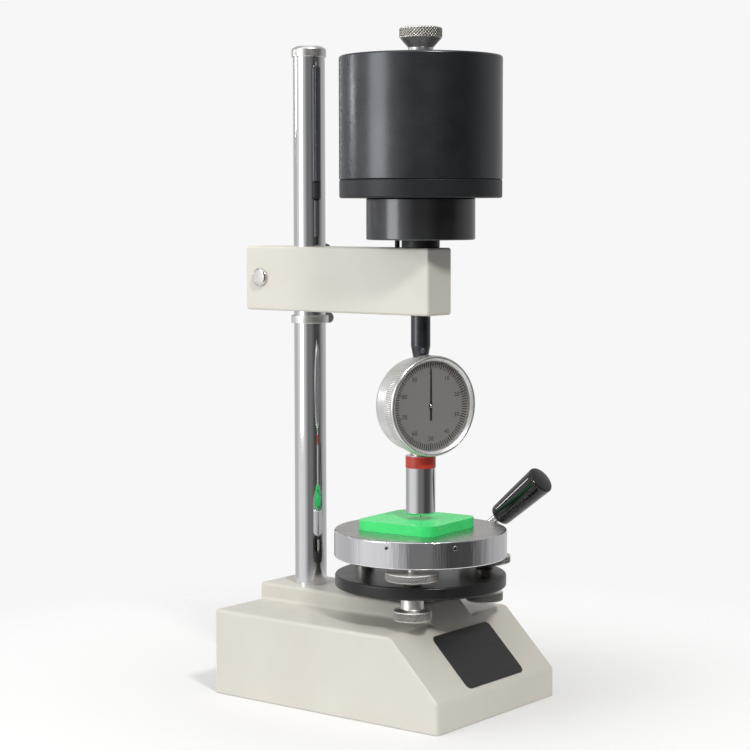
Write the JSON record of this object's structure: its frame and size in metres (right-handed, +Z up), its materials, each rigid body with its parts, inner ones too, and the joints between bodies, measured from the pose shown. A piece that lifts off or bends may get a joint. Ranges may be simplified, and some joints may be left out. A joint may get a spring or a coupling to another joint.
{
  "type": "hardness tester",
  "caption": "Dial durometer on a weighted bench stand, with a side-lever lift table, levelling screws, column and clamped arm.",
  "frame": {"origin": "centre of the base's underside, on the surface it stands on", "axes": "+X towards the sloped operator's front, +Y to the operator's right where the lever is, +Z up along the column"},
  "size_m": [0.1968, 0.1363, 0.4085],
  "materials": {
    "black_plastic": "gloss black moulded plastic",
    "black_steel": "satin black oxide",
    "brass": "machined brass",
    "bright_chrome": "polished hard chrome",
    "cream_paint": "semi-gloss cream enamel on cast iron",
    "crystal": "clear flat crystal",
    "dial_print": "matt grey printed dial",
    "green_block": "gloss green elastomer",
    "needle_black": "matt black",
    "plate_black": "satin black plate",
    "red_label": "gloss red band",
    "satin_nickel": "satin nickel plate",
    "silver_case": "satin silver anodised aluminium",
    "steel": "machined steel"
  },
  "bodies": {
    "base": {"base_casting": "cream_paint", "base_cover": "steel", "cover_screws": "steel", "data_plate": "plate_black", "column_tube": "bright_chrome", "column_plug": "steel", "column_bolt": "steel", "column_cap": "satin_nickel", "post_bush": "brass", "shaft_bushes": "brass", "idler_pin": "steel"},
    "lift_table": {"lift_post": "steel", "travel_stop_ring": "steel", "carrier_plate": "black_steel", "plate_bolt": "steel", "rear_pivot": "steel", "specimen_table": "bright_chrome", "table_grub_screws": "steel", "test_block": "green_block"},
    "lever": {"sector_gear": "steel", "lever_shaft": "steel", "lever_hub": "satin_nickel", "lever_rod": "bright_chrome", "lever_grip": "black_plastic", "shaft_end_screw": "steel"},
    "idler": {"idler_pinion": "steel"},
    "levelling_left": {"levelling_screw_left": "satin_nickel"},
    "levelling_right": {"levelling_screw_right": "satin_nickel"},
    "lock_left": {"lock_wheel_left": "satin_nickel"},
    "lock_right": {"lock_wheel_right": "satin_nickel"},
    "collar": {"stop_collar": "satin_nickel"},
    "collar_screw": {"collar_thumbscrew": "satin_nickel"},
    "arm": {"arm_beam": "cream_paint", "spindle_bushes": "brass", "clamp_bolt": "satin_nickel", "clamp_washer": "steel"},
    "clamp": {"clamp_knob": "black_plastic"},
    "spindle": {"spindle_rod": "black_steel", "rest_collar": "black_steel", "lower_weight": "black_steel", "guide_pin": "black_steel"},
    "weight": {"main_weight": "black_steel", "trim_weight": "black_steel"},
    "weight_nut": {"weight_knob": "satin_nickel"},
    "gauge": {"gauge_case": "silver_case", "gauge_back": "silver_case", "back_screws": "steel", "presser_barrel": "bright_chrome", "colour_band": "red_label", "movement_frame": "brass"},
    "bezel": {"bezel_ring": "silver_case", "dial_face": "dial_print", "crystal": "crystal"},
    "indenter": {"indenter_rod": "steel", "calibration_spring": "steel"},
    "transfer": {"transfer_sector": "brass"},
    "needle": {"pointer": "needle_black", "centre_pinion": "steel"}
  },
  "joints": [
    {"name": "table_lift", "type": "slide", "parent": "base", "child": "lift_table", "axis": [0, 0, 1], "range_m": [0, 0.01]},
    {"name": "lever_press", "type": "hinge", "parent": "base", "child": "lever", "pos_m": [-0.0395, 0, 0.04], "axis": [0, 1, 0], "range_deg": [0, 17]},
    {"name": "idler_turn", "type": "hinge", "parent": "base", "child": "idler", "pos_m": [0.0075, 0, 0.04], "axis": [0, 1, 0], "range_deg": [-44.5, 0]},
    {"name": "levelling_left_turn", "type": "hinge", "parent": "lift_table", "child": "levelling_left", "pos_m": [0.0498, -0.03724, 0.062], "axis": [0, 0, 1], "continuous": true},
    {"name": "levelling_right_turn", "type": "hinge", "parent": "lift_table", "child": "levelling_right", "pos_m": [0.0498, 0.03724, 0.062], "axis": [0, 0, 1], "continuous": true},
    {"name": "lock_left_turn", "type": "hinge", "parent": "lift_table", "child": "lock_left", "pos_m": [0.0498, -0.03724, 0.085], "axis": [0, 0, 1], "continuous": true},
    {"name": "lock_right_turn", "type": "hinge", "parent": "lift_table", "child": "lock_right", "pos_m": [0.0498, 0.03724, 0.085], "axis": [0, 0, 1], "continuous": true},
    {"name": "arm_height", "type": "slide", "parent": "base", "child": "collar", "axis": [0, 0, 1], "range_m": [0, 0.11]},
    {"name": "collar_screw_turn", "type": "hinge", "parent": "collar", "child": "collar_screw", "pos_m": [-0.0586, 0.0168, 0.2315], "axis": [0, 1, 0], "continuous": true},
    {"name": "arm_swing", "type": "hinge", "parent": "collar", "child": "arm", "pos_m": [-0.0586, 0, 0.2568], "axis": [0, 0, 1], "range_deg": [-90, 90]},
    {"name": "clamp_turn", "type": "hinge", "parent": "arm", "child": "clamp", "pos_m": [-0.0894, 0.04, 0.2575], "axis": [0, 1, 0], "continuous": true},
    {"name": "spindle_lift", "type": "slide", "parent": "arm", "child": "spindle", "axis": [0, 0, 1], "range_m": [0, 0.01]},
    {"name": "weight_lift_off", "type": "slide", "parent": "spindle", "child": "weight", "axis": [0, 0, 1], "range_m": [0, 0.095]},
    {"name": "weight_knob_turn", "type": "hinge", "parent": "weight", "child": "weight_nut", "pos_m": [0.0283, 0, 0.4], "axis": [0, 0, 1], "continuous": true},
    {"name": "gauge_swivel", "type": "hinge", "parent": "spindle", "child": "gauge", "pos_m": [0.0283, 0, 0.215], "axis": [0, 0, 1], "range_deg": [-120, 120]},
    {"name": "bezel_turn", "type": "hinge", "parent": "gauge", "child": "bezel", "pos_m": [0.04008, -0.00417, 0.1823], "axis": [0.9426, -0.3338, 0], "range_deg": [-30, 30]},
    {"name": "indenter_press", "type": "slide", "parent": "gauge", "child": "indenter", "axis": [0, 0, 1], "range_m": [0, 0.00245], "stiffness_N_per_m": 17780, "deforming": ["calibration_spring"]},
    {"name": "transfer_turn", "type": "hinge", "parent": "gauge", "child": "transfer", "pos_m": [0.0269, -0.00394, 0.1739], "axis": [0.9426, -0.3338, 0], "range_deg": [0, 48]},
    {"name": "needle_turn", "type": "hinge", "parent": "gauge", "child": "needle", "pos_m": [0.0283, 0, 0.1823], "axis": [0.9426, -0.3338, 0], "range_deg": [-360, 0]}
  ],
  "couplings": [
    {"joint": "lever_press", "follows": "table_lift", "rad_per_m": 29.412},
    {"joint": "idler_turn", "follows": "table_lift", "rad_per_m": -76.923},
    {"joint": "spindle_lift", "follows": "table_lift", "ratio": 1},
    {"joint": "transfer_turn", "follows": "indenter_press", "rad_per_m": 335.12},
    {"joint": "needle_turn", "follows": "indenter_press", "rad_per_m": -2513.4}
  ]
}
